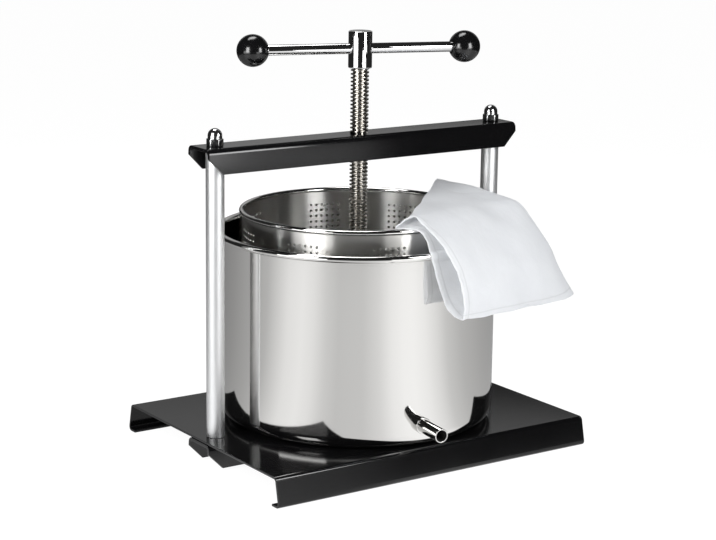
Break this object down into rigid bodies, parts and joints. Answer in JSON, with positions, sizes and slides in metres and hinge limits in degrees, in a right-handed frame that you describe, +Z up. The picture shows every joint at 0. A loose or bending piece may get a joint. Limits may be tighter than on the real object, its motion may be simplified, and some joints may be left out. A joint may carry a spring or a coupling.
{
  "type": "fruit press",
  "caption": "Hand screw press: two-post frame with cross beam, T-handle screw driving a plate into a perforated basket that stands in a juice pot with spout; press bag over the rim.",
  "frame": {"origin": "on the surface it stands on, on the axis of the screw", "axes": "+X along the beam to the right post, -Y to the front where the spout is, +Z up along the screw"},
  "size_m": [0.3296, 0.289, 0.3721],
  "materials": {
    "black_coat": "gloss",
    "satin_aluminium": "satin",
    "zinc_steel": "satin",
    "turned_steel": "satin",
    "bronze": "satin",
    "chromed_steel": "gloss",
    "black_plastic": "gloss",
    "polished_stainless": "gloss",
    "brushed_stainless": "satin",
    "white_cloth": "matte"
  },
  "bodies": {
    "frame": {"base_plate": "black_coat", "base_channel": "black_coat", "top_beam": "black_coat", "left_post": "satin_aluminium", "right_post": "satin_aluminium", "left_tie_rod": "zinc_steel", "right_tie_rod": "zinc_steel", "acorn_nuts": "zinc_steel", "base_washers": "zinc_steel", "base_nuts": "zinc_steel", "spindle_nut": "turned_steel"},
    "press_head": {"press_plate": "brushed_stainless", "thrust_cup": "turned_steel", "thrust_washer": "bronze", "retaining_screws": "zinc_steel"},
    "spindle": {"spindle": "turned_steel", "handle_hub": "chromed_steel", "hub_pin": "zinc_steel", "handle_bar": "chromed_steel", "left_knob": "black_plastic", "right_knob": "black_plastic"},
    "pot": {"juice_pot": "polished_stainless", "spout_tube": "polished_stainless", "spout_collar": "polished_stainless"},
    "basket": {"basket_wall": "polished_stainless", "basket_floor": "polished_stainless", "basket_rim": "polished_stainless"},
    "bag": {"filter_bag": "white_cloth"}
  },
  "joints": [
    {"name": "press_slide", "type": "slide", "parent": "frame", "child": "press_head", "axis": [0, 0, 1], "range_m": [-0.0562, 0.0851]},
    {"name": "spindle_turn", "type": "hinge", "parent": "press_head", "child": "spindle", "pos_m": [0, 0, 0.3], "axis": [0, 0, 1], "range_deg": [-5940, 9000]},
    {"name": "pot_turn", "type": "hinge", "parent": "frame", "child": "pot", "pos_m": [0, 0, 0.026], "axis": [0, 0, 1], "range_deg": [-65, 20]},
    {"name": "basket_lift", "type": "slide", "parent": "pot", "child": "basket", "axis": [0, 0, 1], "range_m": [0, 0.02]},
    {"name": "bag_slide", "type": "slide", "parent": "basket", "child": "bag", "axis": [0, -0.985, 0.1726], "range_m": [0, 0.17]}
  ],
  "couplings": [
    {"joint": "press_slide", "follows": "spindle_turn", "m_per_rad": 0.00054113}
  ]
}
